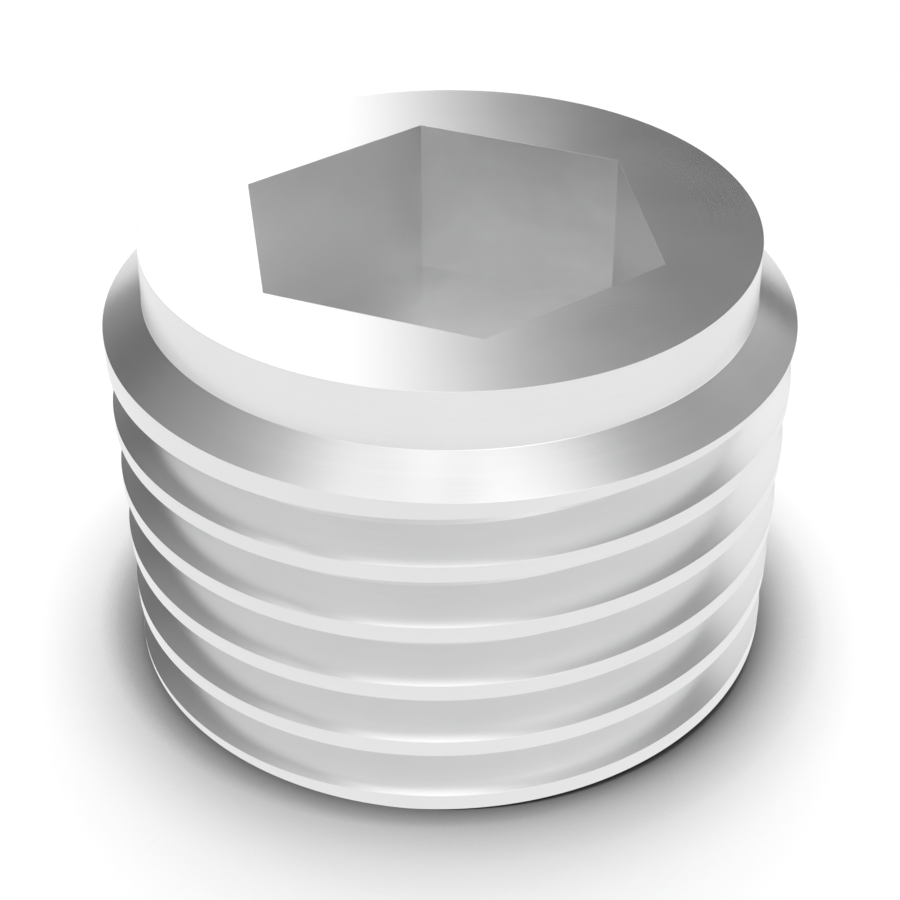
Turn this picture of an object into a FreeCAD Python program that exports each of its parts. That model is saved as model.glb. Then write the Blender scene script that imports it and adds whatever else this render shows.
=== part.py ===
# Hex socket pipe plug, turned from bar in one piece, with an R 1/4 taper thread.
# Millimetres. The origin is the middle of the small end, and +Z points out of the socket.
import FreeCAD
import Part

import math
import os

# The body: a threaded cone that narrows downwards, a shoulder, and a plain boss above it.
plug_height = 8.72
boss_diameter = 11.45
boss_height = 1.14
shoulder_slope = 35.5  # degrees from level

# The thread: right-hand, 19 turns an inch, Whitworth flanks, 1 in 16 on the diameter.
pitch = 1.337
flank_angle = 55.0  # degrees between the two flanks
taper = 1 / 16
pitch_diameter = 12.301
gauge_length = 6.9  # from the small end to where the thread has that pitch diameter
crest_flat = 0.33
root_flat = 0.22

# The top turn: the land left between it and the shoulder's edge, in front and at least.
front_angle = -98.0  # degrees from +X
top_land = 0.34
least_land = 0.08

# The socket: a blind hexagon with a flat floor, and two of its flats square to X.
key_size = 7.0
key_clearance = 0.15
socket_depth = 3.2

# The cutter stands out of the bar while it cuts, and ends clear of the crests.
cutter_overlap = 0.15
cutter_clearance = 0.05
points_per_turn = 24

# The groove's section. On the pitch line, it is half a pitch wide.
flank_slope = math.tan(math.radians(flank_angle / 2))
groove_width = pitch - crest_flat
groove_depth = (groove_width - root_flat) / 2 / flank_slope
crest_height = (groove_width - pitch / 2) / 2 / flank_slope


def crest_radius(z):
    """The radius of the cone that the crests lie on, at height z."""
    return pitch_diameter / 2 + crest_height + (z - gauge_length) * taper / 2


# The shoulder falls from the foot of the boss until it meets the cone of the crests.
boss_radius = boss_diameter / 2
boss_foot = plug_height - boss_height
fall = math.tan(math.radians(shoulder_slope))
shoulder_width = (crest_radius(boss_foot) - boss_radius) / (1 + fall * taper / 2)
shoulder_edge = boss_foot - shoulder_width * fall

# The groove's middle where its top turn passes the front. From there it climbs until only
# the least land is left, and lifts out just as fast as it climbs, so that the land stays.
groove_height = shoulder_edge - top_land - groove_width / 2
runout_start = 360 * (top_land - least_land) / pitch
runout_lift = groove_depth + cutter_clearance
runout_sweep = 360 * runout_lift * flank_slope / pitch


def bar():
    """The turned bar before its thread is cut: threaded cone, shoulder and boss."""
    outline = [
        FreeCAD.Vector(0, 0, 0),
        FreeCAD.Vector(crest_radius(0), 0, 0),
        FreeCAD.Vector(crest_radius(shoulder_edge), 0, shoulder_edge),
        FreeCAD.Vector(boss_radius, 0, boss_foot),
        FreeCAD.Vector(boss_radius, 0, plug_height),
        FreeCAD.Vector(0, 0, plug_height),
    ]
    section = Part.Face(Part.makePolygon(outline + outline[:1]))
    return section.revolve(FreeCAD.Vector(0, 0, 0), FreeCAD.Vector(0, 0, 1), 360)


def groove_point(turned, out, rise):
    """A point out from the crests and up from the groove's middle.

    turned is how many degrees past the front of the top turn it lies, and is negative
    along the turns below.
    """
    angle = math.radians(front_angle + turned)
    middle = groove_height + pitch * turned / 360
    share = min(max((turned - runout_start) / runout_sweep, 0), 1)
    lift = runout_lift * share * share * (3 - 2 * share)
    radius = crest_radius(middle) + lift + out
    return FreeCAD.Vector(
        radius * math.cos(angle), radius * math.sin(angle), middle + rise
    )


def groove_line(turns, out, rise):
    """The smooth helical line through such points, one for each turn of a list."""
    line = Part.BSplineCurve()
    line.interpolate(
        Points=[groove_point(turned, out, rise) for turned in turns],
        Parameters=[math.radians(turned) for turned in turns],
    )
    return line


def helical_face(line, other):
    """The ruled face between two helical lines that share their knots."""
    surface = Part.BSplineSurface()
    surface.buildFromPolesMultsKnots(
        [line.getPoles(), other.getPoles()],
        [2, 2],
        line.getMultiplicities(),
        [0, 1],
        line.getKnots(),
        False,
        False,
        1,
        line.Degree,
    )
    return surface.toShape()


def thread_cutter():
    """The solid that the thread's cutter sweeps: four helical faces and two flat ends."""
    # It starts a whole turn below the small end.
    first = -360 * (groove_height + pitch) / pitch
    last = runout_start + runout_sweep
    steps = math.ceil((last - first) / 360 * points_per_turn)
    turns = [first + (last - first) * i / steps for i in range(steps + 1)]
    mouth = groove_width + 2 * cutter_overlap * flank_slope
    # The profile's corners: out from the crests, and up from the groove's middle.
    corners = [
        (cutter_overlap, mouth / 2),
        (-groove_depth, root_flat / 2),
        (-groove_depth, -root_flat / 2),
        (cutter_overlap, -mouth / 2),
    ]
    lines = [groove_line(turns, out, rise) for out, rise in corners]
    faces = [helical_face(lines[i - 1], lines[i]) for i in range(len(lines))]
    for turned in (first, last):
        rim = [groove_point(turned, out, rise) for out, rise in corners]
        faces.append(Part.Face(Part.makePolygon(rim + rim[:1])))
    shell = Part.makeShell(faces)
    shell.sewShape()
    return Part.Solid(shell)


def socket():
    """The hexagonal hole, a boss's height taller than its depth so that it cuts the top."""
    corner_radius = (key_size + key_clearance) / 2 / math.cos(math.radians(30))
    corners = [
        FreeCAD.Vector(
            corner_radius * math.cos(math.radians(30 + 60 * i)),
            corner_radius * math.sin(math.radians(30 + 60 * i)),
            plug_height - socket_depth,
        )
        for i in range(6)
    ]
    hexagon = Part.Face(Part.makePolygon(corners + corners[:1]))
    return hexagon.extrude(FreeCAD.Vector(0, 0, socket_depth + boss_height))


def plug():
    """The finished plug: the bar with its thread cut and its socket pressed in."""
    return bar().cut(thread_cutter()).cut(socket())


os.makedirs("parts", exist_ok=True)
solid = plug()
print("plug:", len(solid.Solids), "solid,", len(solid.Faces), "faces, valid", solid.isValid())
print("volume", round(solid.Volume, 2), "cubic mm, shoulder edge at", round(shoulder_edge, 3))
solid.exportStep("parts/plug.step")
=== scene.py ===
"""The hex socket plug, dressed: its thread, shoulder, boss and socket, and their steel."""
import json
import logging
import math
from collections.abc import Sequence
from dataclasses import dataclass, field
from enum import Enum

import bpy
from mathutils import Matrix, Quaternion, Vector


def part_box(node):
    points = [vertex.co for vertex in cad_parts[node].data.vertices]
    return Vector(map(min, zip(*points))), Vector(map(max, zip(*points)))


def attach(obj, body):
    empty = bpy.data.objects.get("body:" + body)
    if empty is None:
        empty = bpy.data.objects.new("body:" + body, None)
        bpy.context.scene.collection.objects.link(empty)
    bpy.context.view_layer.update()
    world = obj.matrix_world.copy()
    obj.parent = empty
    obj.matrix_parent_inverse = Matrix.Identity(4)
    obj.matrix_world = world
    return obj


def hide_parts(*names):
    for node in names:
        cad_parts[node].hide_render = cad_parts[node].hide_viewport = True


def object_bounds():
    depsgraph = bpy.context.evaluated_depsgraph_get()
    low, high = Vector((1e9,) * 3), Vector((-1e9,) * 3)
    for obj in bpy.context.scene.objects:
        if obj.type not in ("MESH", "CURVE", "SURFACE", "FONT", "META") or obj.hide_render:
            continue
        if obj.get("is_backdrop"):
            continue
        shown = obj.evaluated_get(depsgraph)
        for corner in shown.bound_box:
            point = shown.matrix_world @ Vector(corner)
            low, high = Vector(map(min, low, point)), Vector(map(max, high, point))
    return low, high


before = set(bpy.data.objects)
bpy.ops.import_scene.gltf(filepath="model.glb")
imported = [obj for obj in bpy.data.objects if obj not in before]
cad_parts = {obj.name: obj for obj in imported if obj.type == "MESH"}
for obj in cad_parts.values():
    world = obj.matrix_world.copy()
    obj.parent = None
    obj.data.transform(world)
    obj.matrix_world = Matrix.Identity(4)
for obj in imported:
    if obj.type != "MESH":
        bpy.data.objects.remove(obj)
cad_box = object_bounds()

# What the operators of a shader's value take.
Number = "Value | float"
Place = tuple[float, float, float]
Colour = tuple[float, float, float, float]
SectionPoint = tuple[float, float]

log = logging.getLogger("plug")

MILLIMETRE = 0.001
MICRON = 0.000001
NANOMETRE = 0.000000001
FULL_TURN = 2 * math.pi
NOISE_MIDDLE = 0.5
WHITE = (1.0, 1.0, 1.0, 1.0)
BLACK = (0.0, 0.0, 0.0, 1.0)


class Flank(Enum):
    """The two sides of the thread's groove: the one above its root and the one below."""

    UPPER = 1
    LOWER = -1


class Ray(Enum):
    """The kinds of ray that a shader can tell apart, by the Light Path node's names."""

    CAMERA = "Is Camera Ray"
    GLOSSY = "Is Glossy Ray"
    TRANSMISSION = "Is Transmission Ray"


class Value:
    """A number in a shader. Python's operators on it add the Math nodes."""

    def __init__(self, graph: "Graph", socket: bpy.types.NodeSocket) -> None:
        """Keeps the socket that gives the number.

        Args:
            graph: The node graph that the socket is in.
            socket: The output socket of the node that makes the number.
        """
        self.graph = graph
        self.socket = socket

    def _math(self, operation: str, first: Number, second: Number = 0.0) -> "Value":
        """Adds one Math node.

        Args:
            operation: The Math node's operation.
            first: Its first number.
            second: Its second number, which some operations leave unused.

        Returns:
            The node's result.
        """
        settings = {"operation": operation}
        return self.graph.node("ShaderNodeMath", settings, {0: first, 1: second})

    def __add__(self, other: Number) -> "Value":
        """Returns self + other."""
        return self._math("ADD", self, other)

    __radd__ = __add__

    def __sub__(self, other: Number) -> "Value":
        """Returns self - other."""
        return self._math("SUBTRACT", self, other)

    def __rsub__(self, other: Number) -> "Value":
        """Returns other - self."""
        return self._math("SUBTRACT", other, self)

    def __mul__(self, other: Number) -> "Value":
        """Returns self * other."""
        return self._math("MULTIPLY", self, other)

    __rmul__ = __mul__

    def __truediv__(self, other: Number) -> "Value":
        """Returns self / other."""
        return self._math("DIVIDE", self, other)

    def __pow__(self, other: Number) -> "Value":
        """Returns self to the power of other."""
        return self._math("POWER", self, other)

    def __abs__(self) -> "Value":
        """Returns the number without its sign."""
        return self._math("ABSOLUTE", self)

    def most(self, other: Number) -> "Value":
        """Returns the larger of self and other."""
        return self._math("MAXIMUM", self, other)

    def wave(self) -> "Value":
        """Returns the sine of an angle in radians."""
        return self._math("SINE", self)

    def angle_over(self, other: Number) -> "Value":
        """Returns the angle whose tangent is self / other, in radians."""
        return self._math("ARCTAN2", self, other)

    def ramp(self, low: float, high: float) -> "Value":
        """Rises smoothly from 0 at low to 1 at high.

        Args:
            low: Where the result is 0.
            high: Where the result is 1. Below low, the result falls instead.

        Returns:
            The smooth step.
        """
        settings = {"interpolation_type": "SMOOTHSTEP"}
        sockets = {"Value": self, "From Min": low, "From Max": high}
        return self.graph.node("ShaderNodeMapRange", settings, sockets)


class Graph:
    """The nodes of one material or of the world."""

    def __init__(self, owner: bpy.types.Material | bpy.types.World) -> None:
        """Empties the owner's nodes.

        Args:
            owner: The material or world whose nodes these are.
        """
        owner.use_nodes = True
        self.tree = owner.node_tree
        self.tree.nodes.clear()

    def node(
        self,
        kind: str,
        settings: dict[str, object] | None = None,
        sockets: dict[str | int, object] | None = None,
        output: str | int = 0,
    ) -> Value:
        """Adds any node.

        Args:
            kind: The node's type.
            settings: Its settings by name, which are set first.
            sockets: A number, a colour, a vector or a link for each input socket.
            output: The output socket that the result is taken from.

        Returns:
            The node's output, or its first input if it has no output.
        """
        made = self.tree.nodes.new(kind)
        for name, setting in (settings or {}).items():
            setattr(made, name, setting)
        for name, source in (sockets or {}).items():
            if isinstance(source, Value):
                self.tree.links.new(source.socket, made.inputs[name])
            else:
                made.inputs[name].default_value = source
        if len(made.outputs) == 0:
            return Value(self, made.inputs[0])
        return Value(self, made.outputs[output])

    def blend(self, share: Number, first: object, second: object) -> Value:
        """Mixes two colours.

        Args:
            share: How much of the second colour there is, from 0 to 1.
            first: The colour where share is 0.
            second: The colour where share is 1.

        Returns:
            The mixed colour.
        """
        # The colour sockets of a Mix node are its inputs 6 and 7 and its output 2.
        settings = {"data_type": "RGBA"}
        return self.node("ShaderNodeMix", settings, {0: share, 6: first, 7: second}, 2)

    def vector(self, x: Number, y: Number, z: Number) -> Value:
        """Returns the vector with these three numbers."""
        return self.node("ShaderNodeCombineXYZ", None, {0: x, 1: y, 2: z})

    def dot(self, vector: Value, direction: Sequence[float]) -> Value:
        """Measures a vector along a fixed direction.

        Args:
            vector: The vector.
            direction: The direction, of unit length.

        Returns:
            How far the vector reaches along it.
        """
        settings = {"operation": "DOT_PRODUCT"}
        sockets = {0: vector, 1: tuple(direction)}
        return self.node("ShaderNodeVectorMath", settings, sockets, "Value")

    def parts(self, vector: Value) -> tuple[Value, Value, Value]:
        """Takes a vector apart.

        Args:
            vector: The vector.

        Returns:
            Its three numbers.
        """
        first = self.node("ShaderNodeSeparateXYZ", None, {0: vector})
        outputs = first.socket.node.outputs
        return first, Value(self, outputs[1]), Value(self, outputs[2])

    def ray(self, kind: Ray) -> Value:
        """Returns 1 for this kind of ray and 0 for the others."""
        return self.node("ShaderNodeLightPath", output=kind.value)

    def noise(self, where: Value, scale: float, detail: float) -> Value:
        """Makes cloudy noise.

        Args:
            where: The point that the noise is read at.
            scale: How many clouds there are to a unit of length.
            detail: How many finer layers lie over the first.

        Returns:
            Noise about 0.5, from 0 to 1.
        """
        sockets = {"Vector": where, "Scale": scale, "Detail": detail}
        return self.node("ShaderNodeTexNoise", None, sockets)


@dataclass(frozen=True)
class SteelFinish:
    """Bright steel, with fine marks that its tool left and wide clouds of wear.

    Lengths are in metres. The details say how many finer layers the noise has, and
    worn_reach is how worn the steel is where it has its full colour.
    """

    name: str
    colour: Colour = (0.825, 0.825, 0.827, 1.0)
    dull_colour: Colour = (0.785, 0.786, 0.789, 1.0)
    roughness: float = 0.25
    roughness_spread: float = 0.03
    mark_width: float = 0.08 * MILLIMETRE
    mark_depth: float = 0.12 * MICRON
    mark_detail: float = 2.0
    cloud_width: float = 2.2 * MILLIMETRE
    cloud_depth: float = 0.0
    cloud_detail: float = 3.0
    cloud_wear: float = 2.0
    worn_reach: float = 0.9
    metallic: float = 1.0

    def line_place(self, graph: Graph, place: Value) -> Value:
        """Says where on the tool's pattern a point lies: here, on rings round the axis.

        Args:
            graph: The material's nodes.
            place: The point on the surface, in metres.

        Returns:
            A vector that stays the same along each mark, in metres.
        """
        x, y, z = graph.parts(place)
        radius = (x * x + y * y) ** 0.5
        return graph.vector(radius, z, 0.0)

    def steel(self, graph: Graph, place: Value, worn: Value) -> Value:
        """Gives the steel its colour.

        Args:
            graph: The material's nodes.
            place: The point on the surface, in metres. It changes nothing here.
            worn: How worn the steel is there, about 0.

        Returns:
            The colour, which is duller where the steel is less worn.
        """
        dullness = worn.ramp(self.worn_reach, -self.worn_reach)
        return graph.blend(dullness, self.colour, self.dull_colour)

    def material(self) -> bpy.types.Material:
        """Makes the Blender material.

        Returns:
            The material, with colour, roughness and bump that vary at true scale.
        """
        material = bpy.data.materials.new(self.name)
        graph = Graph(material)
        place = graph.node("ShaderNodeTexCoord", output="Object")
        lines = self.line_place(graph, place)
        marks = graph.noise(lines, 1 / self.mark_width, self.mark_detail)
        clouds = graph.noise(place, 1 / self.cloud_width, self.cloud_detail)
        worn = (clouds - NOISE_MIDDLE) * self.cloud_wear + (marks - NOISE_MIDDLE)
        height = marks * self.mark_depth + clouds * self.cloud_depth
        # At this distance and strength, a height in metres is the bump's true height.
        relief = {"Height": height, "Distance": 1.0, "Strength": 1.0}
        steel = {
            "Base Color": self.steel(graph, place, worn),
            "Metallic": self.metallic,
            "Roughness": worn * self.roughness_spread + self.roughness,
            "Normal": graph.node("ShaderNodeBump", None, relief),
        }
        shader = graph.node("ShaderNodeBsdfPrincipled", None, steel)
        graph.node("ShaderNodeOutputMaterial", None, {"Surface": shader})
        return material


@dataclass(frozen=True)
class ThreadFinish(SteelFinish):
    """Steel with the marks of a threading tool, which run along the helix."""

    pitch: float = MILLIMETRE

    def line_place(self, graph: Graph, place: Value) -> Value:
        """Says where on the tool's pattern a point lies: on lines along the helix.

        Args:
            graph: The material's nodes.
            place: The point on the surface, in metres.

        Returns:
            A vector that stays the same along each mark, in metres.
        """
        x, y, z = graph.parts(place)
        radius = (x * x + y * y) ** 0.5
        # One pitch is wrapped round a circle, so that the pattern has no seam.
        climb = z * (FULL_TURN / self.pitch) - y.angle_over(x)
        wrap_radius = self.pitch / FULL_TURN
        across = climb.wave() * wrap_radius
        along = (climb + math.pi / 2).wave() * wrap_radius
        return graph.vector(across, along, radius)


@dataclass(frozen=True)
class PressedFinishAndShade(SteelFinish):
    """Steel that a punch has pressed: bright at the mouth, with painted shade that darkens it
    down to the floor.

    It has faint streaks along the punch's stroke, which change stretch times as fast along
    the stroke as across it. The height where the painted shade starts and the floor's height
    are in metres.
    """

    shade_start: float = 0.0
    floor: float = 0.0
    colour: Colour = (0.88, 0.88, 0.882, 1.0)
    dull_colour: Colour = (0.84, 0.841, 0.844, 1.0)
    # Painted shade: the darker colour that the socket's walls take towards its floor.
    painted_shade_colour: Colour = (0.72, 0.721, 0.724, 1.0)
    stretch: float = 0.04
    cloud_depth: float = 25.0 * MICRON

    def line_place(self, graph: Graph, place: Value) -> Value:
        """Says where on the tool's pattern a point lies: on streaks along the axis.

        Args:
            graph: The material's nodes.
            place: The point on the surface, in metres.

        Returns:
            A vector that changes little along each streak, in metres.
        """
        x, y, z = graph.parts(place)
        return graph.vector(x, y, z * self.stretch)

    def steel(self, graph: Graph, place: Value, worn: Value) -> Value:
        """Gives the steel its colour.

        Args:
            graph: The material's nodes.
            place: The point on the surface, in metres.
            worn: How worn the steel is there, about 0.

        Returns:
            The colour, darkened with painted shade from where that shade starts down to the
            floor.
        """
        _, _, z = graph.parts(place)
        near_mouth = super().steel(graph, place, worn)
        # Painted shade: the colour darkens with depth in the socket.
        painted_shade = z.ramp(self.shade_start, self.floor)
        return graph.blend(painted_shade, near_mouth, self.painted_shade_colour)


TURNED_STEEL = SteelFinish("turned_steel")


class Skin:
    """A mesh in the making: points in columns round the axis, and the faces between them."""

    # Areas are counted in squares of this side, so that their sums aren't tiny.
    area_side = 0.01 * MILLIMETRE
    crease_angle = math.radians(35)

    def __init__(self, columns: int, finishes: Sequence[SteelFinish]) -> None:
        """Starts with no points.

        Args:
            columns: How many points there are to a turn.
            finishes: Every finish that the faces use.
        """
        self.columns = columns
        self.finishes = list(finishes)
        self.points: list[Place] = []
        self.known: dict[tuple[int, ...], int] = {}
        self.faces: list[list[int]] = []
        self.finish_of_face: list[int] = []

    def point(self, radius: float, z: float, column: int) -> int:
        """Adds a point, or finds the one that is already there, to the nanometre.

        Args:
            radius: Its distance from the axis, in metres.
            z: Its height, in metres.
            column: The number of its column, which may count on over many turns.

        Returns:
            The point's number.
        """
        angle = FULL_TURN * (column % self.columns) / self.columns
        place = (radius * math.cos(angle), radius * math.sin(angle), z)
        key = tuple(round(along / NANOMETRE) for along in place)
        if key not in self.known:
            self.known[key] = len(self.points)
            self.points.append(place)
        return self.known[key]

    def ring(self, radius: float, z: float) -> list[int]:
        """Returns the points of a level circle."""
        return [self.point(radius, z, i) for i in range(self.columns)]

    def face(self, corners: Sequence[int], finish: SteelFinish) -> None:
        """Adds a face, less the corners that have run together.

        Args:
            corners: The numbers of its points, in turn.
            finish: The finish that it shows.
        """
        kept = list(dict.fromkeys(corners))
        if len(kept) > 2:
            self.faces.append(kept)
            self.finish_of_face.append(self.finishes.index(finish))

    def band(
        self, first: Sequence[int], second: Sequence[int], finish: SteelFinish
    ) -> None:
        """Closes the space between two rings.

        Args:
            first: The ring that the surface comes from.
            second: The ring that it goes on to.
            finish: The finish of the band.
        """
        for i in range(len(first)):
            corners = (first[i - 1], first[i], second[i], second[i - 1])
            self.face(corners, finish)

    def shading(self, mesh: bpy.types.Mesh) -> list[Vector]:
        """Works out the shading, so that flat faces stay flat and roundings look round.

        Args:
            mesh: The mesh made of the points and faces.

        Returns:
            A direction for each corner of each face: that of the faces that meet there
            without a crease, each counted by its area.
        """
        meeting: list[list[Vector]] = [[] for _ in self.points]
        for polygon in mesh.polygons:
            weighted = polygon.normal * (polygon.area / self.area_side**2)
            for number in polygon.vertices:
                meeting[number].append(weighted)
        limit = math.cos(self.crease_angle)
        directions = []
        for polygon in mesh.polygons:
            for number in polygon.vertices:
                total = Vector((0.0, 0.0, 0.0))
                for weighted in meeting[number]:
                    if weighted.dot(polygon.normal) > limit * weighted.length:
                        total += weighted
                directions.append(total.normalized())
        return directions

    def build(self, name: str) -> bpy.types.Object:
        """Makes the Blender object.

        Args:
            name: The object's name.

        Returns:
            The object, in the scene, with its finishes and shading.
        """
        mesh = bpy.data.meshes.new(name)
        mesh.from_pydata(self.points, [], self.faces)
        for finish in self.finishes:
            mesh.materials.append(finish.material())
        mesh.polygons.foreach_set("material_index", self.finish_of_face)
        mesh.shade_smooth()
        mesh.normals_split_custom_set(self.shading(mesh))
        made = bpy.data.objects.new(name, mesh)
        bpy.context.scene.collection.objects.link(made)
        return made


def rounded(
    before: SectionPoint,
    corner: SectionPoint,
    after: SectionPoint,
    size: float,
    steps: int = 3,
) -> list[SectionPoint]:
    """Rounds one corner of a section.

    Args:
        before: A point that the section comes from.
        corner: The sharp corner.
        after: A point that the section goes on to.
        size: How far from the corner the rounding starts and ends.
        steps: How many short lines it has.

    Returns:
        The points of the rounding, in turn.
    """
    here = Vector(corner)
    start = here + (Vector(before) - here).normalized() * size
    end = here + (Vector(after) - here).normalized() * size
    points = []
    for i in range(steps + 1):
        share = i / steps
        point = start.lerp(here, share).lerp(here.lerp(end, share), share)
        points.append((point.x, point.y))
    return points


@dataclass(frozen=True)
class TaperThread:
    """The right-hand taper thread: one helical groove in a cone. In metres and radians.

    front_angle is the side that the camera looks from. top_land is how much of the cone the
    top turn leaves under the shoulder's edge in front. Where it leaves only least_land, the
    cutter starts to lift, and runout_lift brings it clear of the bar. The mesh has columns
    points to a turn, flank_rows rows up each flank and break_rows round each broken edge.
    """

    shoulder_edge: float
    pitch: float = 1.337 * MILLIMETRE
    flank_angle: float = math.radians(55)
    taper: float = 1 / 16
    pitch_diameter: float = 12.301 * MILLIMETRE
    gauge_length: float = 6.9 * MILLIMETRE
    crest_flat: float = 0.33 * MILLIMETRE
    root_radius: float = 0.1836 * MILLIMETRE
    front_angle: float = math.radians(-98)
    top_land: float = 0.34 * MILLIMETRE
    least_land: float = 0.08 * MILLIMETRE
    runout_lift: float = 0.806 * MILLIMETRE
    edge_break: float = 0.005 * MILLIMETRE
    columns: int = 192
    flank_rows: int = 7
    break_rows: int = 3
    end_rings: int = 4
    bar_finish: SteelFinish = TURNED_STEEL

    @property
    def groove_finish(self) -> ThreadFinish:
        """The finish that the threading tool leaves."""
        return ThreadFinish("cut_steel", pitch=self.pitch)

    @property
    def rim(self) -> float:
        """The height where the shoulder's edge starts to round."""
        return self.shoulder_edge - self.edge_break

    @property
    def flank_slope(self) -> float:
        """How far a flank climbs for each unit that it leads out."""
        return math.tan(self.flank_angle / 2)

    @property
    def groove_width(self) -> float:
        """The groove's width at its mouth."""
        return self.pitch - self.crest_flat

    @property
    def full_depth(self) -> float:
        """How deep the flanks would meet, were the root not round."""
        return self.groove_width / 2 / self.flank_slope

    @property
    def depth(self) -> float:
        """The depth of the round root under the crests."""
        rounding = self.root_radius * (1 / math.sin(self.flank_angle / 2) - 1)
        return self.full_depth - rounding

    @property
    def groove_height(self) -> float:
        """The height of the groove's middle where its top turn passes the front."""
        return self.shoulder_edge - self.top_land - self.groove_width / 2

    def crest_radius(self, z: float) -> float:
        """Measures the cone that the crests lie on.

        Args:
            z: The height where it is measured.

        Returns:
            Its radius there.
        """
        crest_height = (self.groove_width - self.pitch / 2) / 2 / self.flank_slope
        gauge_radius = self.pitch_diameter / 2 + crest_height
        return gauge_radius + (z - self.gauge_length) * self.taper / 2

    def lift(self, turned: float) -> float:
        """Says how far the cutter has lifted out of the groove.

        Args:
            turned: The angle past the front of the top turn.

        Returns:
            How far the whole section stands further out.
        """
        start = FULL_TURN * (self.top_land - self.least_land) / self.pitch
        sweep = FULL_TURN * self.runout_lift * self.flank_slope / self.pitch
        share = min(max((turned - start) / sweep, 0), 1)
        # A smooth step, which starts and ends level.
        return self.runout_lift * share * share * (3 - 2 * share)

    def half_section(self, lift: float, flank: Flank) -> list[SectionPoint]:
        """Draws one side of the groove, from its root to the middle of the crest.

        Args:
            lift: How far the cutter has lifted.
            flank: Which side it is.

        Returns:
            Each row's height over the groove's middle and reach beyond its crest radius.
        """
        cone = flank.value * self.taper / 2
        half = self.flank_angle / 2
        steepest = math.pi / 2 - half
        sunk = self.depth - lift
        # The section meets the cone of the crests on its straight flank, or on its round root
        # where the cutter has lifted, or nowhere once it is clear of the bar.
        straight_sunk = sunk - self.root_radius * (1 - math.cos(steepest))
        tilt_at_root = cone * self.root_radius * math.sin(steepest)
        straight = (straight_sunk + tilt_at_root) / (math.cos(half) - cone * math.sin(half))
        level = (1 - sunk / self.root_radius) / math.hypot(1, cone)
        if straight >= 0:
            slope, length = steepest, self.root_radius * steepest + straight
        elif level < 1:
            slope = math.atan(cone) + math.acos(max(level, -1))
            length = self.root_radius * slope
        else:
            slope, length = 0.0, 0.0
        trim = min(self.edge_break * math.tan(slope / 2), length / 2)

        def at(travel: float) -> SectionPoint:
            """Follows the section from its root.

            Args:
                travel: How far it is followed.

            Returns:
                The point that is reached.
            """
            turn = min(travel / self.root_radius, steepest)
            rest = max(travel - self.root_radius * steepest, 0)
            rise = self.root_radius * math.sin(turn) + rest * math.sin(half)
            out = self.root_radius * (1 - math.cos(turn)) + rest * math.cos(half)
            return rise, out - sunk

        crest = (self.pitch / 2, self.pitch / 2 * cone)
        if length <= 0:
            return [(0.0, 0.0)] * (self.flank_rows + self.break_rows + 1) + [crest]
        rows = [at((length - trim) * i / self.flank_rows) for i in range(self.flank_rows)]
        corner_rise, _ = at(length)
        corner = (corner_rise, corner_rise * cone)
        rows += rounded(at(length / 2), corner, crest, trim, self.break_rows)
        return rows + [crest]

    def section(self, column: int) -> list[SectionPoint]:
        """Draws one pitch of the thread, from crest to crest.

        Args:
            column: The number of the column along the helix.

        Returns:
            The radius and height of each row, upwards, without the last crest.
        """
        turned = FULL_TURN * column / self.columns - self.front_angle
        middle = self.groove_height + self.pitch * turned / FULL_TURN
        lift = self.lift(turned)
        lower = [(-rise, out) for rise, out in self.half_section(lift, Flank.LOWER)]
        upper = self.half_section(lift, Flank.UPPER)
        around = self.crest_radius(middle)
        rows = lower[::-1] + upper[1:-1]
        return [(around + out, middle + rise) for rise, out in rows]

    def is_cut(self, row: int) -> bool:
        """Returns whether the strip above this row lies inside the groove."""
        margin = 1 + self.break_rows
        return margin <= row < margin + 2 * self.flank_rows

    def cut(self, skin: Skin) -> tuple[list[int], list[int]]:
        """Cuts the thread, from the flat small end up to the rim of the shoulder.

        Args:
            skin: The mesh in the making.

        Returns:
            The ring at the small end and the ring at the rim.
        """
        # The helix starts a turn below the small end, and its last turn is only looked up.
        turns_below = math.ceil(self.groove_height / self.pitch) + 1
        turns_above = 2
        first = -turns_below * self.columns
        last = turns_above * self.columns
        sections = {i: self.section(i) for i in range(first, last + 1)}
        rows = len(sections[first])

        def row_of(column: int, row: int) -> SectionPoint:
            """Looks a row up. The one past a section's last is a turn higher.

            Args:
                column: The number of the column along the helix.
                row: The number of the row in its section.

            Returns:
                The row's radius and height.
            """
            if row == rows:
                column, row = column + self.columns, 0
            return sections[column][row]

        # The radius of the outline of the small end, where the thread is cut off flat.
        feet: dict[int, float] = {}
        for column in range(first, last + 1 - self.columns):
            for row in range(rows):
                (below, z), (above, next_z) = row_of(column, row), row_of(column, row + 1)
                if z <= 0 < next_z:
                    share = -z / (next_z - z)
                    feet[column % self.columns] = below + (above - below) * share

        def point(column: int, row: int) -> int:
            """Adds a row's point, kept between the small end and the rim.

            Args:
                column: The number of the column along the helix.
                row: The number of the row in its section.

            Returns:
                The point's number.
            """
            radius, z = row_of(column, row)
            if z <= 0:
                radius, z = feet[column % self.columns], 0.0
            if z >= self.rim:
                radius, z = self.crest_radius(self.rim), self.rim
            return skin.point(radius, z, column)

        groove_finish = self.groove_finish
        for column in range(first, last - self.columns):
            for row in range(rows):
                finish = groove_finish if self.is_cut(row) else self.bar_finish
                low, high = point(column, row), point(column, row + 1)
                next_low, next_high = point(column + 1, row), point(column + 1, row + 1)
                skin.face((low, next_low, next_high, high), finish)
        foot = [skin.point(feet[i], 0.0, i) for i in range(self.columns)]
        return foot, skin.ring(self.crest_radius(self.rim), self.rim)

    def face_off(self, skin: Skin, foot: list[int]) -> None:
        """Faces the small end off flat.

        Args:
            skin: The mesh in the making.
            foot: The outline of the small end.
        """
        root_radius = self.crest_radius(0) - self.depth
        inner = [skin.ring(0.0, 0.0)]
        for i in range(1, self.end_rings):
            inner.append(skin.ring(root_radius * i / self.end_rings, 0.0))
        for first, second in zip(inner, inner[1:] + [foot]):
            skin.band(first, second, self.bar_finish)


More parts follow.
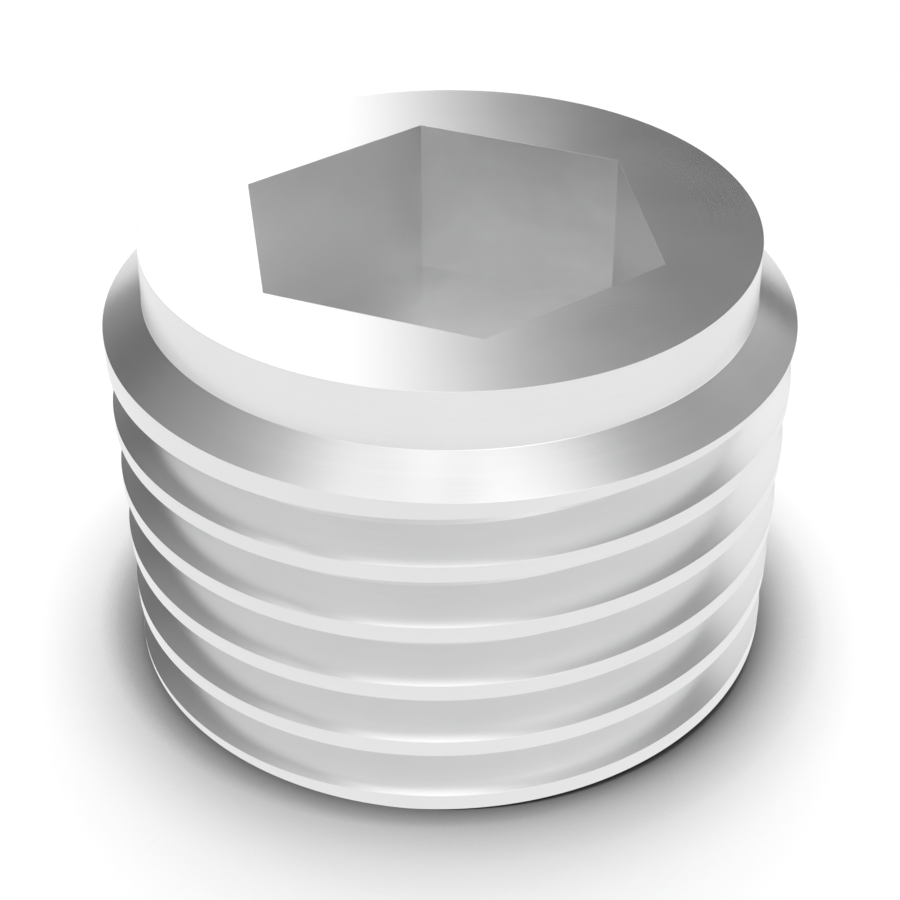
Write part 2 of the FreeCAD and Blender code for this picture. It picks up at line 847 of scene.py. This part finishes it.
@dataclass(frozen=True)
class Boss:
    """The plain boss, and the shoulder that falls from it to the thread.

    In metres and radians. The tool's nose leaves its rounding in the corner at the boss's
    foot, and lip_steps is how many short lines the rounding of the boss's lip has.
    """

    top: float
    diameter: float = 11.45 * MILLIMETRE
    height: float = 1.14 * MILLIMETRE
    shoulder_slope: float = math.radians(35.5)
    edge_break: float = 0.006 * MILLIMETRE
    tool_nose: float = 0.01 * MILLIMETRE
    lip_steps: int = 4
    finish: SteelFinish = TURNED_STEEL

    def shoulder_edge(self, crest_radius: float) -> float:
        """Finds the height of the shoulder's outer edge.

        Args:
            crest_radius: The radius of the crests there.

        Returns:
            That height.
        """
        width = crest_radius - self.diameter / 2
        return self.top - self.height - width * math.tan(self.shoulder_slope)

    def turn(self, skin: Skin, rim_ring: list[int], thread: TaperThread) -> list[int]:
        """Turns the shoulder and the boss.

        Args:
            skin: The mesh in the making.
            rim_ring: The ring at the top of the thread.
            thread: The thread, whose crests the shoulder falls to.

        Returns:
            The outer ring of the boss's face.
        """
        wall = self.diameter / 2
        start = (thread.crest_radius(thread.rim), thread.rim)
        edge = (thread.crest_radius(thread.shoulder_edge), thread.shoulder_edge)
        foot = (wall, self.top - self.height)
        lip = (wall, self.top)
        face_middle = (0.0, self.top)
        outline = rounded(start, edge, foot, thread.edge_break)[1:]
        outline += rounded(edge, foot, lip, self.tool_nose)
        outline += rounded(foot, lip, face_middle, self.edge_break, self.lip_steps)
        before = rim_ring
        for radius, z in outline:
            after = skin.ring(radius, z)
            skin.band(before, after, self.finish)
            before = after
        return before


@dataclass(frozen=True)
class HexSocket:
    """The blind hexagon, with two flats square to X. In metres.

    Its walls take painted shade that darkens them towards the floor, except for a share of
    the depth below the mouth.
    """

    top: float
    across_flats: float = 7.15 * MILLIMETRE
    depth: float = 3.2 * MILLIMETRE
    unshaded_share: float = 0.3
    mouth_break: float = 0.002 * MILLIMETRE
    wall_rows: int = 6
    floor_rows: int = 4

    @property
    def floor(self) -> float:
        """The height of the floor."""
        return self.top - self.depth

    @property
    def finish(self) -> PressedFinishAndShade:
        """The finish that the punch leaves, with painted shade that darkens it towards the
        floor.
        """
        # Painted shade starts at this height and darkens the walls down to the floor.
        shade_start = self.top - self.depth * self.unshaded_share
        return PressedFinishAndShade("pressed_steel", shade_start=shade_start, floor=self.floor)

    def radius(self, angle: float, shrink: float) -> float:
        """Measures the hexagon from its middle.

        Args:
            angle: The direction that it is measured in.
            shrink: How far each side is moved in.

        Returns:
            The distance to the outline.
        """
        sixth = FULL_TURN / 6
        off_flat = (angle + sixth / 2) % sixth - sixth / 2
        return (self.across_flats / 2 - shrink) / math.cos(off_flat)

    def hexagon(self, skin: Skin, shrink: float, z: float) -> list[int]:
        """Adds a level hexagon, with a point in each column.

        Args:
            skin: The mesh in the making.
            shrink: How far each side is moved in.
            z: The hexagon's height.

        Returns:
            The ring of its points.
        """
        points = []
        for i in range(skin.columns):
            radius = self.radius(FULL_TURN * i / skin.columns, shrink)
            points.append(skin.point(radius, z, i))
        return points

    def press(self, skin: Skin, face_ring: list[int], face_finish: SteelFinish) -> None:
        """Lays the boss's face and presses the hexagon into it.

        Args:
            skin: The mesh in the making.
            face_ring: The outer ring of the boss's face.
            face_finish: The finish of that face.
        """
        top, floor, finish = self.top, self.floor, self.finish
        # Each point is how far the hexagon's sides are moved in, and its height.
        face, edge, foot = (-self.across_flats, top), (0.0, top), (0.0, floor)
        mouth = rounded(face, edge, foot, self.mouth_break)
        before = self.hexagon(skin, *mouth[0])
        skin.band(face_ring, before, face_finish)
        _, wall_top = mouth[-1]
        drop = (floor - wall_top) / self.wall_rows
        wall = [(0.0, wall_top + drop * i) for i in range(1, self.wall_rows + 1)]
        inwards = self.across_flats / 2 / self.floor_rows
        bottom = [(inwards * i, floor) for i in range(1, self.floor_rows + 1)]
        for shrink, z in mouth[1:] + wall + bottom:
            after = self.hexagon(skin, shrink, z)
            skin.band(before, after, finish)
            before = after


@dataclass
class Plug:
    """The whole plug, turned from bar: small end, thread, shoulder, boss and socket.

    low and high are the corners of its CAD box, in metres.
    """

    low: Vector
    high: Vector
    boss: Boss = field(init=False)
    thread: TaperThread = field(init=False)
    socket: HexSocket = field(init=False)

    def __post_init__(self) -> None:
        """Works the places of the boss, the thread and the socket out from the CAD box."""
        edge_radius = (self.high.x - self.low.x) / 2
        self.boss = Boss(top=self.high.z)
        self.thread = TaperThread(shoulder_edge=self.boss.shoulder_edge(edge_radius))
        self.socket = HexSocket(top=self.high.z)

    def build(self) -> bpy.types.Object:
        """Makes the plug as one closed mesh.

        Returns:
            The dressed plug.
        """
        finishes = [self.boss.finish, self.thread.groove_finish, self.socket.finish]
        skin = Skin(self.thread.columns, finishes)
        foot, rim_ring = self.thread.cut(skin)
        self.thread.face_off(skin, foot)
        face_ring = self.boss.turn(skin, rim_ring, self.thread)
        self.socket.press(skin, face_ring, self.boss.finish)
        return skin.build("plug_body")


@dataclass(frozen=True)
class Viewpoint:
    """The camera, which looks at the plug's axis.

    In metres and radians, with the lens and the sensor in millimetres as cameras have them.
    """

    heading: float = math.radians(8.04)
    pitch_down: float = math.radians(34.321)
    distance: float = 35.138 * MILLIMETRE
    height: float = 27.666 * MILLIMETRE
    lens: float = 86.52
    sensor: float = 36.0
    nearest: float = 0.001
    furthest: float = 10.0

    def build(self) -> bpy.types.Object:
        """Makes the scene's camera.

        Returns:
            The camera.
        """
        data = bpy.data.cameras.new("camera")
        data.lens = self.lens
        data.sensor_width = self.sensor
        data.clip_start = self.nearest
        data.clip_end = self.furthest
        camera = bpy.data.objects.new("camera", data)
        camera.location = (
            -self.distance * math.sin(self.heading),
            -self.distance * math.cos(self.heading),
            self.height,
        )
        camera.rotation_euler = (math.pi / 2 - self.pitch_down, 0.0, -self.heading)
        bpy.context.scene.collection.objects.link(camera)
        bpy.context.scene.camera = camera
        return camera


def towards(heading: float, bearing: float, elevation: float) -> Vector:
    """Finds the direction to something far off.

    Args:
        heading: The compass angle that the bearing is counted from, in radians.
        bearing: The compass angle from there, in degrees.
        elevation: The angle over the horizon, in degrees.

    Returns:
        The direction, of unit length.
    """
    turn, tilt = heading + math.radians(bearing), math.radians(elevation)
    level = Vector((math.sin(turn), math.cos(turn), 0.0))
    return level * math.cos(tilt) + Vector((0.0, 0.0, math.sin(tilt)))


@dataclass(frozen=True)
class Softbox:
    """A rectangle of light, or a dark flag, far off.

    Angles are in degrees. Half widths, half heights and the softness of the edges are as
    seen from a unit of distance. It shows only in its own half of the sky, and fades in over
    side_fade from where that starts. least_ahead keeps the sums finite behind it.
    """

    name: str
    bearing: float
    elevation: float
    half_width: float
    half_height: float
    roll: float
    strength: float
    softness: float = 0.03
    side_fade: float = 0.05
    least_ahead: float = 0.001

    def mask(self, graph: Graph, direction: Value, heading: float) -> Value:
        """Says where the rectangle shows.

        Args:
            graph: The world's nodes.
            direction: The direction that is looked in.
            heading: The compass angle that bearings are counted from, in radians.

        Returns:
            1 on the rectangle and 0 off it, with soft edges.
        """
        centre = towards(heading, self.bearing, self.elevation)
        side = towards(heading + FULL_TURN / 4, self.bearing, 0.0)
        rolled = Quaternion(centre, -math.radians(self.roll))
        ahead = graph.dot(direction, centre)
        distance = ahead.most(self.least_ahead)
        inside = ahead.ramp(0.0, self.side_fade)
        for axis, half in ((side, self.half_width), (side.cross(centre), self.half_height)):
            offset = abs(graph.dot(direction, rolled @ axis) / distance)
            inside = inside * offset.ramp(half + self.softness, half - self.softness)
        return inside


@dataclass(frozen=True)
class Studio:
    """What the steel reflects: grey walls, softboxes and a white ground.

    heading is in radians. wall_turn says where the back wall ends and the front wall starts,
    as the part of a direction that points ahead, and ground_edge says where the walls end
    and the ground starts, as the part that points up. sample_map is the size of the map by
    which the studio's light is sampled.
    """

    heading: float
    back_wall: float = 0.25
    front_wall: float = 0.70
    wall_turn: tuple[float, float] = (0.57, -0.73)
    ground: float = 1.0
    ground_edge: tuple[float, float] = (0.0, -0.06)
    sample_map: int = 256
    # Bearing, elevation, half width, half height, roll and strength.
    softboxes: tuple[Softbox, ...] = (
        Softbox("overhead", 8.0, 84.0, 0.22, 0.38, 30.0, 1.6),
        Softbox("high left", -35.0, 61.0, 0.28, 0.32, 27.0, 1.6),
        Softbox("back left", -11.9, 37.0, 0.165, 0.47, 4.0, 1.6),
        Softbox("back right", 38.0, 34.0, 0.33, 0.24, 60.0, 1.2),
        Softbox("right", 87.0, 10.0, 0.47, 0.20, 0.0, 1.6),
        Softbox("front left", -177.0, 44.0, 0.25, 0.90, -56.0, 1.6, softness=0.3),
        Softbox("front right", 151.0, 40.0, 0.36, 0.60, 26.0, 1.6),
        Softbox("left flag", -66.0, 15.0, 0.90, 0.16, 24.0, 0.16),
        Softbox("back flag", 21.0, 8.0, 0.21, 0.42, 57.0, 0.05),
    )

    def build(self) -> bpy.types.World:
        """Makes the world's light.

        Returns:
            The world.
        """
        world = bpy.data.worlds.new("studio")
        bpy.context.scene.world = world
        world.cycles.sampling_method = "MANUAL"
        world.cycles.sample_map_resolution = self.sample_map
        # The steel has no diffuse light, and the table has lamps of its own.
        world.cycles_visibility.diffuse = False
        graph = Graph(world)
        direction = graph.node("ShaderNodeTexCoord", output="Generated")
        _, _, upward = graph.parts(direction)
        ahead = (math.sin(self.heading), math.cos(self.heading), 0.0)
        frontness = graph.dot(direction, ahead).ramp(*self.wall_turn)
        light = frontness * (self.front_wall - self.back_wall) + self.back_wall
        for softbox in self.softboxes:
            mask = softbox.mask(graph, direction, self.heading)
            light = light * (1 - mask) + mask * softbox.strength
        below = upward.ramp(*self.ground_edge)
        light = light * (1 - below) + below * self.ground
        # The camera sees plain white behind the table.
        seen = graph.ray(Ray.CAMERA)
        sky = {"Color": WHITE, "Strength": light * (1 - seen) + seen}
        shader = graph.node("ShaderNodeBackground", None, sky)
        graph.node("ShaderNodeOutputWorld", None, {"Surface": shader})
        return world


@dataclass(frozen=True)
class PaintedNearShade:
    """Painted shadow: how much the table's colour is darkened where something stands close
    over it.

    reach is how far off that something may be, in metres, and fall is how fast the table
    darkens under it.
    """

    reach: float
    fall: float
    samples: int = 6

    def light(self, graph: Graph) -> Value:
        """Says how much of the table's colour the painted shadow leaves.

        Args:
            graph: The table's nodes.

        Returns:
            The share that is left, from 0 to 1.
        """
        settings, sockets = {"samples": self.samples}, {"Distance": self.reach}
        openness = graph.node("ShaderNodeAmbientOcclusion", settings, sockets, "AO")
        return openness**self.fall


@dataclass(frozen=True)
class Table:
    """The white table that the plug stands on. In metres."""

    half_width: float = 1.0
    colour: Colour = (0.95, 0.95, 0.95, 1.0)
    # Painted shadow near the plug: how far it reaches and how fast it darkens.
    contact: PaintedNearShade = PaintedNearShade(1.4 * MILLIMETRE, 1.8)
    surround: PaintedNearShade = PaintedNearShade(5.0 * MILLIMETRE, 0.4)

    def material(self) -> bpy.types.Material:
        """Makes the table's white, which keeps the plug's shadow from the lamps, and has
        painted shadow, from ambient occlusion, that darkens its colour under the plug's edge.

        Returns:
            The material. The steel mirrors it as plain white, without the shadow.
        """
        material = bpy.data.materials.new("white_table")
        graph = Graph(material)
        # Painted shadow: ambient occlusion darkens the table's colour towards black near the
        # plug.
        painted_shadow_tone = self.contact.light(graph) * self.surround.light(graph)
        colour = graph.blend(painted_shadow_tone, BLACK, self.colour)
        matt = {"Base Color": colour, "Roughness": 1.0, "Specular IOR Level": 0.0}
        lit = graph.node("ShaderNodeBsdfPrincipled", None, matt)
        white = graph.node("ShaderNodeEmission", None, {"Color": WHITE, "Strength": 1.0})
        mirrored = graph.ray(Ray.GLOSSY).most(graph.ray(Ray.TRANSMISSION))
        shader = graph.node("ShaderNodeMixShader", None, {0: mirrored, 1: lit, 2: white})
        graph.node("ShaderNodeOutputMaterial", None, {"Surface": shader})
        return material

    def build(self) -> bpy.types.Object:
        """Makes the table's top.

        Returns:
            The table, marked as backdrop.
        """
        size = self.half_width
        corners = [(-size, -size, 0), (size, -size, 0), (size, size, 0), (-size, size, 0)]
        mesh = bpy.data.meshes.new("table")
        mesh.from_pydata(corners, [], [(0, 1, 2, 3)])
        mesh.materials.append(self.material())
        table = bpy.data.objects.new("table", mesh)
        bpy.context.scene.collection.objects.link(table)
        table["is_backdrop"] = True
        return table


@dataclass(frozen=True)
class TableLamp:
    """A wide, far lamp that lights the table, and isn't seen in the steel.

    Its bearing and elevation are in degrees, its width in radians, and a level of 1 lights
    a level surface so that its colour shows as it is written.
    """

    name: str
    bearing: float
    elevation: float
    level: float
    width: float = 0.6

    def build(self, heading: float) -> bpy.types.Object:
        """Makes the lamp.

        Args:
            heading: The compass angle that its bearing is counted from, in radians.

        Returns:
            The lamp.
        """
        data = bpy.data.lights.new(self.name, "SUN")
        data.angle = self.width
        data.energy = self.level * math.pi / math.sin(math.radians(self.elevation))
        lamp = bpy.data.objects.new(self.name, data)
        backwards = towards(heading, self.bearing, self.elevation)
        lamp.rotation_euler = backwards.to_track_quat("Z", "Y").to_euler()
        lamp.visible_glossy = False
        lamp.visible_camera = False
        bpy.context.scene.collection.objects.link(lamp)
        return lamp


# Bearing, elevation and level.
TABLE_LAMPS = (
    TableLamp("lamp_above", 0.0, 90.0, 0.85),
    TableLamp("lamp_behind", 0.0, 60.0, 0.22),
)


def write_sizes(before: Sequence[Vector], after: Sequence[Vector]) -> None:
    """Turns the CAD box and the visual model's box into JSON text, and keeps none of it.

    Args:
        before: The lowest and highest corner of the CAD model.
        after: The lowest and highest corner of the visual model.
    """
    for box in (before, after):
        json.dumps([list(corner) for corner in box])


def main() -> None:
    """Builds the plug, its stage and its light, in order."""
    logging.basicConfig(level=logging.INFO, format="%(message)s")
    bpy.context.scene.view_settings.view_transform = "Standard"
    viewpoint = Viewpoint()
    viewpoint.build()
    plug = Plug(*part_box("plug"))
    body = plug.build()
    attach(body, "root")
    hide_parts("plug")
    log.info("%s: %d faces", body.name, len(body.data.polygons))
    table = Table().build()
    log.info("%s: stage", table.name)
    studio = Studio(viewpoint.heading)
    studio.build()
    log.info("studio: %d softboxes", len(studio.softboxes))
    for lamp in TABLE_LAMPS:
        made = lamp.build(viewpoint.heading)
        log.info("%s: %.2f W to a square metre", made.name, made.data.energy)
    write_sizes(cad_box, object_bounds())


if __name__ == "__main__":
    main()
